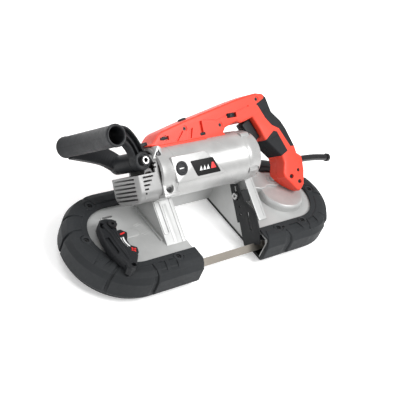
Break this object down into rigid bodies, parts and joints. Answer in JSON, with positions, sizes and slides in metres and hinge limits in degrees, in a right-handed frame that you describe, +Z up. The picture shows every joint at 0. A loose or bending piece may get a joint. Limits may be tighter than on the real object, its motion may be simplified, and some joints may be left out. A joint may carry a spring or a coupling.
{
  "type": "portable band saw",
  "caption": "Hand-held deep-cut band saw: two guarded wheels, a motor across them, a pistol grip with trigger and a loop front handle.",
  "frame": {"origin": "centre of the saw's outline on the surface that it lies on, with both wheel guards' backs on that surface", "axes": "+X along the saw from the loop handle's end to the cord's end, +Y from the blade's side to the motor's side, +Z up away from the surface"},
  "size_m": [0.5687, 0.2593, 0.2264],
  "materials": {
    "cast_silver": "satin silver paint on die-cast aluminium",
    "motor_silver": "satin silver paint, finely textured",
    "bumper_rubber": "matt moulded rubber",
    "guard_black": "matt moulded plastic",
    "red_shell": "satin glass-filled nylon, coral red",
    "soft_grip": "matt overmoulded elastomer",
    "black_plastic": "satin moulded plastic",
    "sleeve_rubber": "matt rubber",
    "blade_steel": "bimetal band, blued and ground",
    "steel": "ground steel",
    "wheel_alloy": "machined alloy",
    "tyre": "smooth rubber tyre",
    "iron_stack": "varnished laminations",
    "carbon": "pressed carbon",
    "badge": "gloss black plate",
    "stop_black": "black powder coat"
  },
  "bodies": {
    "root": {"frame_left": "cast_silver", "frame_right": "cast_silver", "frame_bridge": "cast_silver", "rear_guard_left": "guard_black", "rear_guard_right": "guard_black", "bumper_left": "bumper_rubber", "bumper_right": "bumper_rubber", "blade": "blade_steel", "shaft_bearings": "steel", "gear_cover": "cast_silver", "carriage_rails": "steel", "lever_pivot": "steel", "guide_bracket_left": "stop_black", "guide_bracket_right": "stop_black", "stop_bracket": "stop_black", "stop_screw": "steel", "motor_housing": "motor_silver", "end_cap": "motor_silver", "vent_cover": "motor_silver", "stator": "iron_stack", "motor_bearings": "steel", "brush_caps": "black_plastic", "carbon_brushes": "carbon", "badge_plate": "badge", "handle_rear": "red_shell", "handle_front": "red_shell", "grip_rear": "soft_grip", "grip_front": "soft_grip", "switch_body": "black_plastic", "cord_guard": "sleeve_rubber", "lead": "sleeve_rubber", "cord_clamp": "black_plastic", "handle_bracket": "black_plastic", "pivot_bolt": "steel", "case_screws": "steel"},
    "drive_wheel": {"drive_wheel": "wheel_alloy", "drive_tyre": "tyre", "drive_shaft": "steel", "wheel_gear": "steel"},
    "lay_shaft": {"lay_shaft": "steel"},
    "down_shaft": {"down_shaft": "steel"},
    "armature": {"armature": "iron_stack", "fan": "black_plastic"},
    "idler_carriage": {"idler_carriage": "steel", "tension_spring": "steel"},
    "idler_wheel": {"idler_wheel": "wheel_alloy", "idler_tyre": "tyre", "idler_bush": "steel"},
    "tension_lever": {"tension_lever": "black_plastic"},
    "work_stop": {"work_stop": "stop_black"},
    "trigger": {"trigger": "black_plastic"},
    "lock_button": {"lock_button": "black_plastic"},
    "speed_dial": {"speed_dial": "black_plastic"},
    "front_handle": {"front_handle": "black_plastic"},
    "guide_roller_left_front": {"guide_roller_left_front": "steel"},
    "guide_roller_left_back": {"guide_roller_left_back": "steel"},
    "guide_roller_right_front": {"guide_roller_right_front": "steel"},
    "guide_roller_right_back": {"guide_roller_right_back": "steel"},
    "edge_roller_left": {"edge_roller_left": "steel"},
    "edge_roller_right": {"edge_roller_right": "steel"}
  },
  "joints": [
    {"name": "armature_spin", "type": "hinge", "parent": "root", "child": "armature", "pos_m": [-0.0162, 0.01982, 0.11719], "axis": [1, 0, 0], "continuous": true},
    {"name": "down_spin", "type": "hinge", "parent": "root", "child": "down_shaft", "pos_m": [0.0703, 0.01982, 0.05], "axis": [0, 0, 1], "continuous": true},
    {"name": "lay_spin", "type": "hinge", "parent": "root", "child": "lay_shaft", "pos_m": [0.11122, 0.00505, 0.05], "axis": [0, 0, 1], "continuous": true},
    {"name": "drive_spin", "type": "hinge", "parent": "root", "child": "drive_wheel", "pos_m": [0.1538, -0.0317, 0.022], "axis": [0, 0, 1], "continuous": true},
    {"name": "tension_turn", "type": "hinge", "parent": "root", "child": "tension_lever", "pos_m": [-0.2122, -0.0237, 0.063], "axis": [0, 0, 1], "range_deg": [-150, 0]},
    {"name": "idler_slide", "type": "slide", "parent": "root", "child": "idler_carriage", "axis": [1, 0, 0], "range_m": [0, 0.006]},
    {"name": "idler_spin", "type": "hinge", "parent": "idler_carriage", "child": "idler_wheel", "pos_m": [-0.1862, -0.0317, 0.022], "axis": [0, 0, 1], "continuous": true},
    {"name": "stop_slide", "type": "slide", "parent": "root", "child": "work_stop", "axis": [0, 0.7314, 0.682], "range_m": [-0.012, 0]},
    {"name": "trigger_press", "type": "slide", "parent": "root", "child": "trigger", "axis": [0.871, 0.3593, 0.3351], "range_m": [0, 0.0065], "stiffness_N_per_m": 600, "springref_m": -0.004},
    {"name": "lock_press", "type": "slide", "parent": "root", "child": "lock_button", "axis": [0, -0.682, 0.7314], "range_m": [0, 0.0035], "stiffness_N_per_m": 400, "springref_m": -0.003},
    {"name": "dial_turn", "type": "hinge", "parent": "root", "child": "speed_dial", "pos_m": [0.0498, 0.06278, 0.17229], "axis": [0, 0.7314, 0.682], "range_deg": [-135, 135]},
    {"name": "handle_swing", "type": "hinge", "parent": "root", "child": "front_handle", "pos_m": [-0.1612, 0.03701, 0.13321], "axis": [0, -0.682, 0.7314], "range_deg": [-30, 30]},
    {"name": "roller_left_front_spin", "type": "hinge", "parent": "root", "child": "guide_roller_left_front", "pos_m": [-0.1042, -0.10729, 0.02748], "axis": [0, 0.7314, 0.682], "continuous": true},
    {"name": "roller_left_back_spin", "type": "hinge", "parent": "root", "child": "guide_roller_left_back", "pos_m": [-0.1042, -0.09961, 0.01925], "axis": [0, 0.7314, 0.682], "continuous": true},
    {"name": "edge_left_spin", "type": "hinge", "parent": "root", "child": "edge_roller_left", "pos_m": [-0.1182, -0.09628, 0.03005], "axis": [0, -0.682, 0.7314], "continuous": true},
    {"name": "roller_right_front_spin", "type": "hinge", "parent": "root", "child": "guide_roller_right_front", "pos_m": [0.0718, -0.10729, 0.02748], "axis": [0, 0.7314, 0.682], "continuous": true},
    {"name": "roller_right_back_spin", "type": "hinge", "parent": "root", "child": "guide_roller_right_back", "pos_m": [0.0718, -0.09961, 0.01925], "axis": [0, 0.7314, 0.682], "continuous": true},
    {"name": "edge_right_spin", "type": "hinge", "parent": "root", "child": "edge_roller_right", "pos_m": [0.0858, -0.09628, 0.03005], "axis": [0, -0.682, 0.7314], "continuous": true}
  ],
  "couplings": [
    {"joint": "idler_spin", "follows": "drive_spin", "ratio": 1},
    {"joint": "lay_spin", "follows": "drive_spin", "ratio": -4.7692},
    {"joint": "down_spin", "follows": "drive_spin", "ratio": 25.966},
    {"joint": "armature_spin", "follows": "drive_spin", "ratio": -38.949},
    {"joint": "roller_left_front_spin", "follows": "drive_spin", "ratio": -14.642},
    {"joint": "roller_right_front_spin", "follows": "drive_spin", "ratio": -14.642},
    {"joint": "roller_left_back_spin", "follows": "drive_spin", "ratio": 14.642},
    {"joint": "roller_right_back_spin", "follows": "drive_spin", "ratio": 14.642},
    {"joint": "edge_left_spin", "follows": "drive_spin", "ratio": 14.642},
    {"joint": "edge_right_spin", "follows": "drive_spin", "ratio": 14.642},
    {"joint": "idler_slide", "follows": "tension_turn", "m_per_rad": -0.002291}
  ]
}
